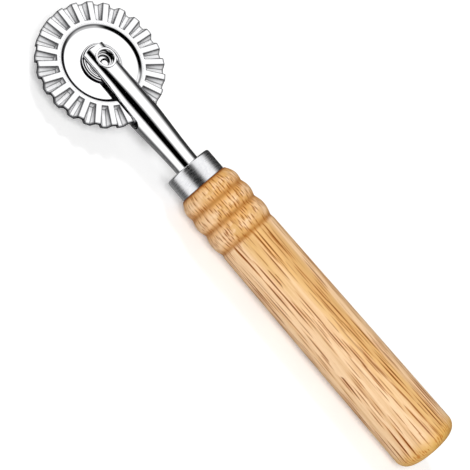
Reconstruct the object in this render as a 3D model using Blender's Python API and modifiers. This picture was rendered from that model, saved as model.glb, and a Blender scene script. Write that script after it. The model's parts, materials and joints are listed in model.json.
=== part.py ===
"""Pastry wheel: a fluted steel wheel that spins on a tubular rivet between two half-round fork arms.

The arms meet as a tube behind the wheel and run on as a tang through a steel ferrule into a turned
wooden handle. The tool lies along X on its round handle, wheel towards -X, and leans to one side as
such a tool does, until the wheel's rim is near the surface. The pieces are built about the tool's own
axis, with the wheel's axle along Z, and hang from one leaning empty. The origin is under the middle of
the whole tool, on the surface that it lies on.
"""

import math

import bmesh
import bpy
from mathutils import Matrix

# Whole tool, in metres
WHEEL_DIAMETER = 0.0400
AXLE_TO_FERRULE = 0.0392
HANDLE_LENGTH = 0.1100
RUNNING_GAP = 0.0003

# Handle
BUTT_RADIUS = 0.01035
NECK_RADIUS = 0.00955
BUTT_CORNER_RADIUS = 0.0036
NECK_FILLET_LENGTH = 0.0016
HANDLE_FRONT_RADIUS = 0.0080
BEAD_VALLEY_RADIUS = 0.0093
FRONT_BEAD_LENGTH = 0.0060
FRONT_BEAD_HEIGHT = 0.0009
MIDDLE_BEAD_LENGTH = 0.0060
MIDDLE_BEAD_HEIGHT = 0.0007
REAR_BEAD_LENGTH = 0.0073
REAR_BEAD_HEIGHT = 0.0008

# Ferrule, a drawn cap whose front wall the shank passes through
FERRULE_RADIUS = 0.0077
FERRULE_LENGTH = 0.0072
FERRULE_WALL = 0.0006
FERRULE_EDGE_RADIUS = 0.0007

# Fork, two stamped half-tubes that part at the slot to straddle the wheel
FORK_SHEET = 0.0009
SHANK_RADIUS = 0.00395
TANG_LENGTH = 0.0250
SLOT_REACH = 0.0215
SLOT_HALF_WIDTH = 0.0021
EYE_LIP_HEIGHT = 0.00235
EYE_HALF_WIDTH = 0.0041
EYE_CROWN = 0.00485
EYE_REACH = 0.0046
SHOULDER_REACH = 0.0045
SHOULDER_HALF_WIDTH = 0.00425
SHOULDER_CROWN = 0.0049
BULGE_REACH = 0.0160
BULGE_HALF_WIDTH = 0.0049
BULGE_CROWN = 0.00515

# Axle rivet
RIVET_RADIUS = 0.0028
RIVET_BORE_RADIUS = 0.0025
RIVET_BORE_DEPTH = 0.0040
RIVET_BUTTON_RADIUS = 0.0013
RIVET_BUTTON_HEIGHT = 0.0006
LIP_RADIUS = 0.0032
LIP_THICKNESS = 0.00035
RIVET_HEAD_RADIUS = 0.0036
RIVET_HEAD_HEIGHT = 0.0011

# Wheel, one fluted sheet
WHEEL_SHEET = 0.0008
RIDGE_HEIGHT = 0.0016
FLUTE_DEPTH = 0.0018
RIDGE_WIDTH = 0.0020
FLUTE_WALL_RUN = 0.0006
FLUTE_RADIUS = 0.0139
FLUTE_END_RUN = 0.0005
DISH_OUTER_RADIUS = 0.0125
DISH_WALL_RUN = 0.0010
DISH_DEPTH = 0.0007
RIM_ROUNDING = 0.0005

# Hub, a bush and two washers that turn with the wheel
BUSH_WALL = 0.0006
WASHER_RADIUS = 0.00635
WASHER_EDGE_RADIUS = 0.0002
WASHER_STEP_WIDTH = 0.0005
WASHER_STEP_DROP = 0.0004

# What a cutter runs past the face it cuts
CUT_OVERRUN = 0.0020

# Counts, and shapes without a size
FLUTE_COUNT = 24
RIDGE_PHASE = math.radians(2.4)
LEAN = math.radians(14)
HANDLE_STEPS = 44
SMALL_STEPS = 36
BEAD_STEPS = 6
CORNER_STEPS = 5
EDGE_STEPS = 3
ARC_STEPS = 16
SPAN_STEPS = 3
SLOT_ARC_STEPS = 6
TIP_SQUARENESS_SHARE = 3.4
EYE_SQUARENESS_SHARE = 4.5
SHOULDER_SQUARENESS_SHARE = 2.6
ROUND_SHARE = 2.0

# Places that follow from the sizes
WHEEL_RADIUS = WHEEL_DIAMETER / 2
OVERALL_LENGTH = WHEEL_RADIUS + AXLE_TO_FERRULE + HANDLE_LENGTH
AXLE_X = WHEEL_RADIUS - OVERALL_LENGTH / 2
FERRULE_X = AXLE_X + AXLE_TO_FERRULE
AXIS_Z = BUTT_RADIUS
HUB_HEIGHT = EYE_LIP_HEIGHT - RUNNING_GAP
BUSH_BORE_RADIUS = RIVET_RADIUS + RUNNING_GAP
BUSH_RADIUS = BUSH_BORE_RADIUS + BUSH_WALL
WASHER_BORE_RADIUS = BUSH_RADIUS + RUNNING_GAP
DISC_TOP = RIDGE_HEIGHT - DISH_DEPTH

MERGE = 0.00001


def empty_scene():
    for thing in list(bpy.data.objects):
        bpy.data.objects.remove(thing, do_unlink=True)


def collection(name):
    made = bpy.data.collections.new(name)
    bpy.context.scene.collection.children.link(made)
    return made


def material(name, colour, roughness, metallic):
    made = bpy.data.materials.new(name)
    made.use_nodes = True
    shader = made.node_tree.nodes["Principled BSDF"]
    shader.inputs["Base Color"].default_value = (*colour, 1.0)
    shader.inputs["Roughness"].default_value = roughness
    shader.inputs["Metallic"].default_value = metallic
    return made


def add_object(name, data, group, finish=None):
    made = bpy.data.objects.new(name, data)
    group.objects.link(made)
    if finish is not None:
        data.materials.append(finish)
    return made


def arc(centre_r, centre_z, radius, start, end, steps):
    """Points of an arc in a profile, from one angle to the other, both ends included."""
    points = []
    for step in range(steps + 1):
        angle = start + (end - start) * step / steps
        points.append((centre_r + radius * math.cos(angle), centre_z + radius * math.sin(angle)))
    return points


def turned(name, profile, closed, steps, group, finish):
    """A solid of revolution about its own Z, from (radius, height) points."""
    mesh = bpy.data.meshes.new(name)
    points = [(radius, 0, height) for radius, height in profile]
    edges = [(index, index + 1) for index in range(len(points) - 1)]
    if closed:
        edges.append((len(points) - 1, 0))
    mesh.from_pydata(points, edges, [])
    made = add_object(name, mesh, group, finish)
    screw = made.modifiers.new("turn", "SCREW")
    screw.axis = "Z"
    screw.steps = steps
    screw.render_steps = steps
    screw.use_merge_vertices = True
    screw.merge_threshold = MERGE
    screw.use_smooth_shade = True
    return made


def lay_along_tool(made, x, tool):
    """Turns a part whose top is its front so that it faces the wheel, on the tool's axis."""
    made.location = (x, 0, 0)
    made.rotation_euler = (0, -math.pi / 2, 0)
    made.parent = tool


def bead(start_radius, end_radius, height, start_z, length):
    """One turned bead of the handle, without its last point."""
    points = []
    for step in range(BEAD_STEPS):
        share = step / BEAD_STEPS
        radius = start_radius + (end_radius - start_radius) * share + height * math.sin(math.pi * share)
        points.append((radius, start_z - length * share))
    return points


def make_handle(tool, group, finish):
    bore_radius = SHANK_RADIUS + RUNNING_GAP
    bore_end = -(TANG_LENGTH + RUNNING_GAP)
    tenon_radius = FERRULE_RADIUS - FERRULE_WALL - RUNNING_GAP
    tenon_front = -(FERRULE_WALL + RUNNING_GAP)
    front = -(FERRULE_LENGTH + RUNNING_GAP)
    middle_start = front - FRONT_BEAD_LENGTH
    rear_start = middle_start - MIDDLE_BEAD_LENGTH
    rear_end = rear_start - REAR_BEAD_LENGTH
    profile = [(0, bore_end), (bore_radius, bore_end), (bore_radius, tenon_front)]
    profile += [(tenon_radius, tenon_front), (tenon_radius, front)]
    profile += bead(HANDLE_FRONT_RADIUS, BEAD_VALLEY_RADIUS, FRONT_BEAD_HEIGHT, front, FRONT_BEAD_LENGTH)
    profile += bead(BEAD_VALLEY_RADIUS, BEAD_VALLEY_RADIUS, MIDDLE_BEAD_HEIGHT, middle_start,
                    MIDDLE_BEAD_LENGTH)
    profile += bead(BEAD_VALLEY_RADIUS, BEAD_VALLEY_RADIUS, REAR_BEAD_HEIGHT, rear_start, REAR_BEAD_LENGTH)
    profile += [(BEAD_VALLEY_RADIUS, rear_end), (NECK_RADIUS, rear_end - NECK_FILLET_LENGTH)]
    profile += arc(BUTT_RADIUS - BUTT_CORNER_RADIUS, BUTT_CORNER_RADIUS - HANDLE_LENGTH, BUTT_CORNER_RADIUS,
                   0, -math.pi / 2, CORNER_STEPS)
    profile.append((0, -HANDLE_LENGTH))
    lay_along_tool(turned("handle", profile, False, HANDLE_STEPS, group, finish), FERRULE_X, tool)


def make_ferrule(tool, group, finish):
    hole_radius = SHANK_RADIUS + RUNNING_GAP
    inner_radius = FERRULE_RADIUS - FERRULE_WALL
    profile = [(hole_radius, -FERRULE_WALL), (hole_radius, 0)]
    profile += arc(FERRULE_RADIUS - FERRULE_EDGE_RADIUS, -FERRULE_EDGE_RADIUS, FERRULE_EDGE_RADIUS,
                   math.pi / 2, 0, CORNER_STEPS)
    profile += [(FERRULE_RADIUS, -FERRULE_LENGTH), (inner_radius, -FERRULE_LENGTH)]
    profile.append((inner_radius, -FERRULE_WALL))
    lay_along_tool(turned("ferrule", profile, True, HANDLE_STEPS, group, finish), FERRULE_X, tool)


def fork_stations():
    """Where the fork's outer section is set: place from the axle, half width, crown height, squareness."""
    return [
        (-EYE_REACH, EYE_HALF_WIDTH, EYE_CROWN, TIP_SQUARENESS_SHARE),
        (0, EYE_HALF_WIDTH, EYE_CROWN, EYE_SQUARENESS_SHARE),
        (SHOULDER_REACH, SHOULDER_HALF_WIDTH, SHOULDER_CROWN, SHOULDER_SQUARENESS_SHARE),
        (BULGE_REACH, BULGE_HALF_WIDTH, BULGE_CROWN, ROUND_SHARE),
        (AXLE_TO_FERRULE, SHANK_RADIUS, SHANK_RADIUS, ROUND_SHARE),
        (AXLE_TO_FERRULE + TANG_LENGTH, SHANK_RADIUS, SHANK_RADIUS, ROUND_SHARE),
    ]


def slope(stations, index, item):
    """Rise of one station value per unit of length, flat at the ends of the run."""
    if index in (0, len(stations) - 1):
        return 0
    before = stations[index - 1]
    here = stations[index]
    after = stations[index + 1]
    back = (here[item] - before[item]) / (here[0] - before[0])
    ahead = (after[item] - here[item]) / (after[0] - here[0])
    if back * ahead <= 0:
        return 0
    return 2 * back * ahead / (back + ahead)


def section_between(stations, index, share):
    """The fork's section part of the way from one station to the next, without overshoot."""
    start = stations[index]
    end = stations[index + 1]
    run = end[0] - start[0]
    values = [start[0] + run * share]
    for item in (1, 2, 3):
        rise = end[item] - start[item]
        ease = share * share * (3 - 2 * share)
        leave = share * (1 - share) * (1 - share) * run * slope(stations, index, item)
        arrive = share * share * (share - 1) * run * slope(stations, index + 1, item)
        values.append(start[item] + rise * ease + leave + arrive)
    return values


def fork_ring(section, side):
    """Points across one half of the fork's outside, from one lip over the crown to the other."""
    place, half_width, crown, squareness = section
    points = []
    for step in range(ARC_STEPS + 1):
        angle = math.pi * step / ARC_STEPS
        across = math.copysign(abs(math.cos(angle)) ** (2 / squareness), math.cos(angle))
        up = abs(math.sin(angle)) ** (2 / squareness)
        points.append((AXLE_X + place, half_width * across, side * crown * up))
    return points


def slot_cutter(tool, cutters, name, far_up):
    """The space between the arms: wide round the wheel, with a round end, then the thin seam."""
    seam = RUNNING_GAP / 2
    centre = SLOT_REACH - SLOT_HALF_WIDTH
    seam_angle = math.asin(seam / SLOT_HALF_WIDTH)
    tip = -EYE_REACH - CUT_OVERRUN
    tang_end = AXLE_TO_FERRULE + TANG_LENGTH + CUT_OVERRUN
    outline = [(tip, EYE_LIP_HEIGHT)]
    outline += arc(centre, 0, SLOT_HALF_WIDTH, math.pi / 2, seam_angle, SLOT_ARC_STEPS)
    outline += [(tang_end, seam), (tang_end, -far_up), (tip, -far_up)]
    width = BULGE_HALF_WIDTH + CUT_OVERRUN
    curve = bpy.data.curves.new(name, "CURVE")
    curve.dimensions = "2D"
    curve.fill_mode = "BOTH"
    curve.extrude = width
    spline = curve.splines.new("POLY")
    spline.points.add(len(outline) - 1)
    for point, (x, z) in zip(spline.points, outline):
        point.co = (x, z, 0, 1)
    spline.use_cyclic_u = True
    guide = add_object(name + "_outline", curve, cutters)
    guide.location = (AXLE_X, 0, 0)
    guide.rotation_euler = (math.pi / 2, 0, 0)
    bpy.context.view_layer.update()
    mesh = bpy.data.meshes.new_from_object(guide.evaluated_get(bpy.context.evaluated_depsgraph_get()))
    cutter = add_object(name, mesh, cutters)
    cutter.matrix_basis = guide.matrix_world.copy()
    cutter.parent = tool
    bpy.data.objects.remove(guide, do_unlink=True)
    close_mesh(mesh)
    as_cutter(cutter)
    return cutter


def close_mesh(mesh):
    """Welds loose caps and points every face out."""
    bm = bmesh.new()
    bm.from_mesh(mesh)
    bmesh.ops.remove_doubles(bm, verts=bm.verts, dist=MERGE)
    bmesh.ops.recalc_face_normals(bm, faces=bm.faces)
    bm.to_mesh(mesh)
    bm.free()


def as_cutter(made):
    made.display_type = "WIRE"
    made.hide_render = True


def rod_cutter(tool, cutters, name, radius, height):
    """A cylinder on the wheel's axle."""
    mesh = bpy.data.meshes.new(name)
    bm = bmesh.new()
    bmesh.ops.create_cone(bm, cap_ends=True, segments=SMALL_STEPS, radius1=radius, radius2=radius,
                          depth=height)
    bm.to_mesh(mesh)
    bm.free()
    cutter = add_object(name, mesh, cutters)
    cutter.location = (AXLE_X, 0, 0)
    cutter.parent = tool
    as_cutter(cutter)
    return cutter


def cut(made, cutter):
    boolean = made.modifiers.new("cut " + cutter.name, "BOOLEAN")
    boolean.operation = "DIFFERENCE"
    boolean.solver = "EXACT"
    boolean.object = cutter


def make_fork_arm(name, side, slot, hole, tool, group, finish):
    """One half-tube, lofted along the tool and thickened inward, slotted and holed."""
    stations = fork_stations()
    sections = []
    for index in range(len(stations) - 1):
        for step in range(SPAN_STEPS):
            sections.append(section_between(stations, index, step / SPAN_STEPS))
    sections.append(section_between(stations, len(stations) - 2, 1))
    bm = bmesh.new()
    rings = []
    for section in sections:
        rings.append([bm.verts.new(point) for point in fork_ring(section, side)])
    for ring, following in zip(rings, rings[1:]):
        for step in range(ARC_STEPS):
            bm.faces.new((ring[step], ring[step + 1], following[step + 1], following[step]))
    bmesh.ops.recalc_face_normals(bm, faces=bm.faces)
    mesh = bpy.data.meshes.new(name)
    bm.to_mesh(mesh)
    bm.free()
    crown = max(mesh.polygons, key=lambda face: side * face.center.z)
    if crown.normal.z * side < 0:
        mesh.flip_normals()
    mesh.shade_smooth()
    made = add_object(name, mesh, group, finish)
    made.parent = tool
    shell = made.modifiers.new("sheet", "SOLIDIFY")
    shell.thickness = FORK_SHEET
    shell.offset = -1
    shell.use_even_offset = True
    cut(made, slot)
    cut(made, hole)


def make_fork(tool, group, cutters, finish):
    below = max(BULGE_CROWN, SHANK_RADIUS) + CUT_OVERRUN
    upper_slot = slot_cutter(tool, cutters, "slot_upper", below)
    lower_slot = slot_cutter(tool, cutters, "slot_lower", below)
    place = lower_slot.matrix_basis
    lower_slot.data.transform(place.inverted() @ Matrix.Diagonal((1, 1, -1, 1)) @ place)
    close_mesh(lower_slot.data)
    hole = rod_cutter(tool, cutters, "rivet_hole", RIVET_RADIUS + RUNNING_GAP, 2 * below)
    make_fork_arm("fork_arm_upper", 1, upper_slot, hole, tool, group, finish)
    make_fork_arm("fork_arm_lower", -1, lower_slot, hole, tool, group, finish)


def make_rivet(tool, group, finish):
    seat = EYE_CROWN + RUNNING_GAP
    top = seat + LIP_THICKNESS
    bore_end = top - RIVET_BORE_DEPTH
    lip_round = LIP_THICKNESS / 2
    profile = [(0, bore_end + RIVET_BUTTON_HEIGHT)]
    profile += [(RIVET_BUTTON_RADIUS / 2, bore_end + RIVET_BUTTON_HEIGHT * math.cos(math.pi / 6))]
    profile += [(RIVET_BUTTON_RADIUS, bore_end), (RIVET_BORE_RADIUS, bore_end)]
    profile += [(RIVET_BORE_RADIUS, seat), (RIVET_BORE_RADIUS + lip_round, top)]
    profile += arc(LIP_RADIUS - lip_round, seat + lip_round, lip_round, math.pi / 2, -math.pi / 2,
                   CORNER_STEPS)
    profile += [(RIVET_RADIUS, seat), (RIVET_RADIUS, -seat), (RIVET_HEAD_RADIUS, -seat)]
    for step in range(1, CORNER_STEPS + 1):
        angle = math.pi / 2 * step / CORNER_STEPS
        profile.append((RIVET_HEAD_RADIUS * math.cos(angle), -seat - RIVET_HEAD_HEIGHT * math.sin(angle)))
    profile[-1] = (0, -seat - RIVET_HEAD_HEIGHT)
    made = turned("axle_rivet", profile, False, SMALL_STEPS, group, finish)
    made.location = (AXLE_X, 0, 0)
    made.parent = tool


def flute_columns(radius):
    """Angles across one flute at a radius, each with its share of the flute's depth."""
    ridge = math.asin(RIDGE_WIDTH / 2 / radius)
    floor = math.asin((RIDGE_WIDTH / 2 + FLUTE_WALL_RUN) / radius)
    return [(-floor, 1), (-ridge, 0), (ridge, 0), (floor, 1)]


def wheel_rings():
    """Radius, height of the ridges and depth of the flutes, from the bore out to the rim."""
    disc = DISC_TOP
    ridge = RIDGE_HEIGHT
    return [
        (WASHER_BORE_RADIUS, disc, 0),
        (DISH_OUTER_RADIUS - DISH_WALL_RUN, disc, 0),
        (DISH_OUTER_RADIUS, ridge, 0),
        (FLUTE_RADIUS, ridge, 0),
        (FLUTE_RADIUS + FLUTE_END_RUN, ridge, FLUTE_DEPTH),
        (WHEEL_RADIUS - RIM_ROUNDING, ridge, FLUTE_DEPTH),
        (WHEEL_RADIUS, ridge - RIM_ROUNDING / 2, FLUTE_DEPTH - RIM_ROUNDING / 2),
    ]


def make_wheel(hinge, group, finish):
    """The fluted sheet, as its upper surface, thickened downward; its origin is on the axle."""
    bm = bmesh.new()
    rings = []
    for radius, height, depth in wheel_rings():
        ring = []
        for flute in range(FLUTE_COUNT):
            middle = RIDGE_PHASE + 2 * math.pi * flute / FLUTE_COUNT
            for turn, share in flute_columns(radius if radius > FLUTE_RADIUS else FLUTE_RADIUS):
                angle = math.pi - middle - turn
                point = (radius * math.cos(angle), radius * math.sin(angle), height - depth * share)
                ring.append(bm.verts.new(point))
        rings.append(ring)
    for ring, following in zip(rings, rings[1:]):
        for index in range(len(ring)):
            after = (index + 1) % len(ring)
            bm.faces.new((ring[index], ring[after], following[after], following[index]))
    mesh = bpy.data.meshes.new("wheel")
    bm.to_mesh(mesh)
    bm.free()
    if mesh.polygons[0].normal.z < 0:
        mesh.flip_normals()
    made = add_object("wheel", mesh, group, finish)
    made.parent = hinge
    shell = made.modifiers.new("sheet", "SOLIDIFY")
    shell.thickness = WHEEL_SHEET
    shell.offset = -1
    shell.use_even_offset = True
    shell.use_quality_normals = True


def make_bush(hinge, group, finish):
    profile = [(BUSH_BORE_RADIUS, HUB_HEIGHT), (BUSH_RADIUS, HUB_HEIGHT)]
    profile += [(BUSH_RADIUS, -HUB_HEIGHT), (BUSH_BORE_RADIUS, -HUB_HEIGHT)]
    made = turned("hub_bush", profile, True, SMALL_STEPS, group, finish)
    made.parent = hinge


def make_washer(name, side, inner_height, hinge, group, finish):
    """A washer between the wheel's disc and the lips of an arm, with a stepped and rounded edge."""
    face_radius = WASHER_RADIUS - WASHER_STEP_WIDTH
    step_height = HUB_HEIGHT - WASHER_STEP_DROP
    profile = [(WASHER_BORE_RADIUS, inner_height), (WASHER_BORE_RADIUS, HUB_HEIGHT)]
    for radius, height in ((face_radius, HUB_HEIGHT), (WASHER_RADIUS, step_height)):
        profile += arc(radius - WASHER_EDGE_RADIUS, height - WASHER_EDGE_RADIUS, WASHER_EDGE_RADIUS,
                       math.pi / 2, 0, EDGE_STEPS)
    profile.insert(-EDGE_STEPS - 1, (face_radius, step_height))
    profile.append((WASHER_RADIUS, inner_height))
    made = turned(name, profile, True, SMALL_STEPS, group, finish)
    made.parent = hinge
    if side < 0:
        made.rotation_euler = (math.pi, 0, 0)


def make_hub(hinge, group, finish):
    disc_bottom = DISC_TOP - WHEEL_SHEET
    make_bush(hinge, group, finish)
    make_washer("hub_washer_upper", 1, DISC_TOP + RUNNING_GAP, hinge, group, finish)
    make_washer("hub_washer_lower", -1, RUNNING_GAP - disc_bottom, hinge, group, finish)


def main():
    empty_scene()
    group = collection("pastry_wheel")
    cutters = collection("pastry_wheel_cutters")
    wood = material("oiled_rubberwood", (0.78, 0.50, 0.23), 0.5, 0.0)
    satin = material("satin_steel", (0.62, 0.62, 0.63), 0.35, 1.0)
    chrome = material("polished_steel_fork", (0.86, 0.86, 0.87), 0.08, 1.0)
    fluted = material("polished_steel_wheel", (0.88, 0.88, 0.89), 0.1, 1.0)
    riveted = material("polished_steel_rivet", (0.84, 0.84, 0.85), 0.12, 1.0)
    tool = bpy.data.objects.new("tool_axis", None)
    tool.location = (0, 0, AXIS_Z)
    tool.rotation_euler = (LEAN, 0, 0)
    group.objects.link(tool)
    hinge = bpy.data.objects.new("wheel_axis", None)
    hinge.location = (AXLE_X, 0, 0)
    hinge.parent = tool
    group.objects.link(hinge)
    make_handle(tool, group, wood)
    make_ferrule(tool, group, satin)
    make_fork(tool, group, cutters, chrome)
    make_rivet(tool, group, riveted)
    make_wheel(hinge, group, fluted)
    make_hub(hinge, group, fluted)
    bpy.context.view_layer.update()


main()
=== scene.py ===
"""Looks of the pastry wheel: finished pieces, materials, light and the photograph's camera.

Every piece is built in the tool's own frame, X from the wheel to the butt and Z along the wheel's
axle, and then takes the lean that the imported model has. Lengths are in metres, but for those that
materials use: there the piece's own space is in millimetres.
"""

import json
import math

import bmesh
import bpy
from mathutils import Matrix, Vector


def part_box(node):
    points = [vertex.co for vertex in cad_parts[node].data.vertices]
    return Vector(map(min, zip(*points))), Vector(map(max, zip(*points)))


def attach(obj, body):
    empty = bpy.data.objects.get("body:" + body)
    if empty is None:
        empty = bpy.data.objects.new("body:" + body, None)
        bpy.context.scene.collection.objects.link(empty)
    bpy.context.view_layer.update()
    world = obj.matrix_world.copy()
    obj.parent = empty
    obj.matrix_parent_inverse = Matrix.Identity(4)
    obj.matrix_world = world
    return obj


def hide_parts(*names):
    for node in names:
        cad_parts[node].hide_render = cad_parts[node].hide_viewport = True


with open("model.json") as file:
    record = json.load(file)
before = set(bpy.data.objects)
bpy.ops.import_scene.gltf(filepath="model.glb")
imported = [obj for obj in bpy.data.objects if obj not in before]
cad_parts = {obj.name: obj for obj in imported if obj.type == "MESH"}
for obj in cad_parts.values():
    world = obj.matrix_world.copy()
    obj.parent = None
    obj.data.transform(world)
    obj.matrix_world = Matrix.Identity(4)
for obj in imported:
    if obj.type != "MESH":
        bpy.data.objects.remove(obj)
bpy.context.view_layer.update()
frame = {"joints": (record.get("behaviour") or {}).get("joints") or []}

MM = 0.001

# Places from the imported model
HINGE = frame["joints"][0]
AXLE_X, _, AXIS_Z = HINGE["pos_m"]
LEAN = math.atan2(-HINGE["axis"][1], HINGE["axis"][2])
TOOL = Matrix.Translation((0, 0, AXIS_Z)) @ Matrix.Rotation(LEAN, 4, "X")
FERRULE_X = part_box("ferrule")[0].x
BUTT_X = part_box("handle")[1].x
HANDLE_LENGTH = BUTT_X - FERRULE_X
AXLE_TO_FERRULE = FERRULE_X - AXLE_X

# Handle; a bead has a length and a rise
BUTT_RADIUS = 10.35 * MM
BUTT_CORNER = 3.6 * MM
NECK_RADIUS = 9.55 * MM
NECK_FILLET = 1.6 * MM
NECK_STEPS = 6
HANDLE_FRONT_RADIUS = 8.0 * MM
VALLEY_RADIUS = 9.3 * MM
TENON_RADIUS = 6.8 * MM
TENON_FRONT = 0.9 * MM
TANG_CLEARANCE = 0.2 * MM
WOOD_FRONT = 7.3 * MM
BEADS = ((6.0 * MM, 0.9 * MM), (6.0 * MM, 0.7 * MM), (7.3 * MM, 0.8 * MM))
BEAD_STEPS = 24

# Ferrule
FERRULE_RADIUS = 7.7 * MM
FERRULE_LENGTH = 7.2 * MM
FERRULE_WALL = 0.6 * MM
FERRULE_FRONT_ROUND = 0.7 * MM
FERRULE_EDGE = 0.12 * MM
FERRULE_HOLE = 4.1 * MM

# Fork; a station has a place behind the axle, a half width, a crown height and a squareness
FORK_SHEET = 0.9 * MM
FORK_EDGE = 0.13 * MM
FORK_EDGE_DEGREES = 50
FORK_COLUMNS = 56
SECTION_STEPS = 360
SHANK_RADIUS = 3.95 * MM
TANG_LENGTH = 25.0 * MM
SLOT_REACH = 21.5 * MM
SLOT_HALF_WIDTH = 2.1 * MM
SLOT_CENTRE = SLOT_REACH - SLOT_HALF_WIDTH
SEAM_HALF_WIDTH = 0.08 * MM
EYE_REACH = 4.6 * MM
EYE_HALF_WIDTH = 4.35 * MM
EYE_CROWN = 4.85 * MM
EYE_SQUARENESS = 2.65
EYE_LIP_HEIGHT = 2.35 * MM
FORK_STATIONS = (
    (-EYE_REACH, EYE_HALF_WIDTH, EYE_CROWN, EYE_SQUARENESS),
    (0, EYE_HALF_WIDTH, EYE_CROWN, EYE_SQUARENESS),
    (4.5 * MM, 4.4 * MM, 4.9 * MM, 2.4),
    (16.0 * MM, 4.9 * MM, 5.15 * MM, 2.0),
    (AXLE_TO_FERRULE, SHANK_RADIUS, SHANK_RADIUS, 2.0),
    (AXLE_TO_FERRULE + TANG_LENGTH, SHANK_RADIUS, SHANK_RADIUS, 2.0),
)
DRILL_REACH = 20.0 * MM

# Rivet; the bore's steps have a radius and a height above its floor, and its rings of painted
# highlight a height
RIVET_RADIUS = 2.8 * MM
RIVET_HOLE_RADIUS = 3.0 * MM
LIP_RADIUS = 3.25 * MM
LIP_RISE = 0.45 * MM
LIP_TUCK = 0.1 * MM
HEAD_RADIUS = 3.6 * MM
HEAD_HEIGHT = 1.1 * MM
BORE_RADIUS = 2.5 * MM
BORE_ROUND = 0.25 * MM
BORE_DEPTH = 3.0 * MM
BORE_FLOOR = EYE_CROWN + LIP_RISE - BORE_DEPTH
BORE_STEPS = (
    (0, 0), (1.7 * MM, 0), (1.9 * MM, 0.1 * MM), (1.95 * MM, 0.7 * MM), (2.2 * MM, 0.8 * MM),
    (2.25 * MM, 1.5 * MM), (BORE_RADIUS, 1.65 * MM),
)
BORE_RINGS = (0.75 * MM, 1.55 * MM, 2.15 * MM)
PEEN_RADIUS = 1.7 * MM
PEEN_HEIGHT = 0.7 * MM
PEEN_FOOT = 0.1 * MM
PEEN_PLACE = (0.95 * MM, 0.25 * MM)

# Wheel
WHEEL_RADIUS = 20.0 * MM
WHEEL_BORE = 4.0 * MM
WHEEL_SHEET = 0.8 * MM
WHEEL_SHARP_DEGREES = 40
RIDGE_HEIGHT = 1.6 * MM
RIDGE_HALF_WIDTH = 1.0 * MM
RIDGE_PHASE = math.radians(2.4)
FLUTE_COUNT = 24
FLUTE_COLUMNS = 44
FLUTE_DEPTH = 1.8 * MM
FLUTE_RADIUS = 13.9 * MM
FLUTE_END_RUN = 0.5 * MM
FLOOR_HALF_WIDTH = 0.6 * MM
DISH_RADIUS = 12.5 * MM
DISH_RUN = 1.0 * MM
DISH_DEPTH = 0.7 * MM
FOLD_ROUND = 0.15 * MM
FOOT_ROUND = 0.07 * MM
RIM_ROUND = 0.2 * MM
RIM_STEPS = 4
DENSE_MARGIN = 0.5 * MM

# Painted shade and dark reflections: dark lines on the wheel's folds and rim, thinner at the
# flutes' inner ends and feet, and the two on the dish's slope: each has a strength, and a place
# and a width as shares of the slope's run
CREASE_WIDTH = 0.25 * MM
END_THINNING = 1.3
FOOT_THINNING = 2.6
RIM_CREASE = 0.1 * MM
DISH_LINES = ((0.9, 0.8, 0.33), (0.45, 0.05, 0.15))
RECESS_FADE = 0.3 * MM

# Hub
HUB_HEIGHT = 2.05 * MM
BUSH_BORE = 3.1 * MM
BUSH_RADIUS = 3.7 * MM
BUSH_EDGE = 0.1 * MM
WASHER_BORE = 4.0 * MM
WASHER_RADIUS = 6.35 * MM
WASHER_STEP = 0.5 * MM
WASHER_DROP = 0.4 * MM
WASHER_EDGE = 0.15 * MM
WASHER_GAP = 0.05 * MM
# Painted dark rings on the washers, for shade and dark reflections: their radii and width
WASHER_RINGS = (WASHER_RADIUS, WASHER_RADIUS - WASHER_STEP, WASHER_RADIUS - 2.2 * WASHER_STEP)
RING_WIDTH = 0.25 * MM

# Fineness of the turned pieces, in faces round them
HANDLE_FACES = 160
RIVET_FACES = 128
WASHER_FACES = 128
BUSH_FACES = 96
DRILL_FACES = 96
PEEN_FACES = 48
SHARP_DEGREES = 35

# Metal; a polish has a colour, a roughness and its grain's scale, and a flute's inside is less
# metallic and rougher by the recess numbers
FORK_POLISH = ((0.93, 0.93, 0.94), 0.05, (0.4, 3.0, 3.0))
WHEEL_POLISH = ((0.96, 0.96, 0.97), 0.06, (1.2, 1.2, 1.2))
HUB_POLISH = ((0.92, 0.92, 0.93), 0.08, (0.5, 0.5, 6.0))
EDGE_TINT = (0.55, 0.55, 0.56)
# Painted shade's colour, and how strongly the wheel's folds take it
SHADE_COLOUR = (0.03, 0.03, 0.035)
PAINTED_CREASE_STRENGTH = 0.95
RECESS_DULLNESS = 0.92
RECESS_ROUGHNESS = 0.5
SATIN_LIGHT = (0.82, 0.82, 0.83)
SATIN_DARK = (0.75, 0.75, 0.77)
# The fork's near black inside, painted shade
INSIDE_SHADE_LIGHT = (0.05, 0.05, 0.052)
INSIDE_SHADE_DARK = (0.025, 0.025, 0.026)
METAL_RELIEF = 0.004 * MM

# Wood
WOOD_PEACH = (0.99, 0.70, 0.43)
WOOD_STRAW = (0.84, 0.53, 0.22)
WOOD_TAN = (0.66, 0.36, 0.13)
WOOD_ORANGE = (0.76, 0.38, 0.095)
WOOD_GOLD = (0.80, 0.46, 0.11)
WOOD_STAIN = (0.74, 0.36, 0.11)
WOOD_RUST = (0.56, 0.19, 0.025)
WOOD_BROWN = (0.30, 0.08, 0.008)
WOOD_PORE = (0.15, 0.018, 0.001)
WOOD_RELIEF = 0.03 * MM

# Streaks along the grain: spacing round the handle, length and half width in millimetres, and the
# share that is left out; then the strength of a streak and of the rust round it, and its colour
BODY_STREAKS = ((0.85, 8.0, 0.12, 0.50), 0.80, 0.45, WOOD_BROWN)
BEAD_STREAKS = ((0.85, 2.2, 0.15, 0.30), 0.90, 0.40, WOOD_BROWN)
BUTT_STREAKS = ((0.8, 1.5, 0.14, 0.45), 0.80, 0.60, WOOD_RUST)
DEEP_STREAKS = ((1.45, 15.0, 0.17, 0.42), 1.0, 0.85, WOOD_PORE)
STREAK_TAPER = 4.5
STREAK_CORE = 0.75
STREAK_STAIN = 2.4

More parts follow.
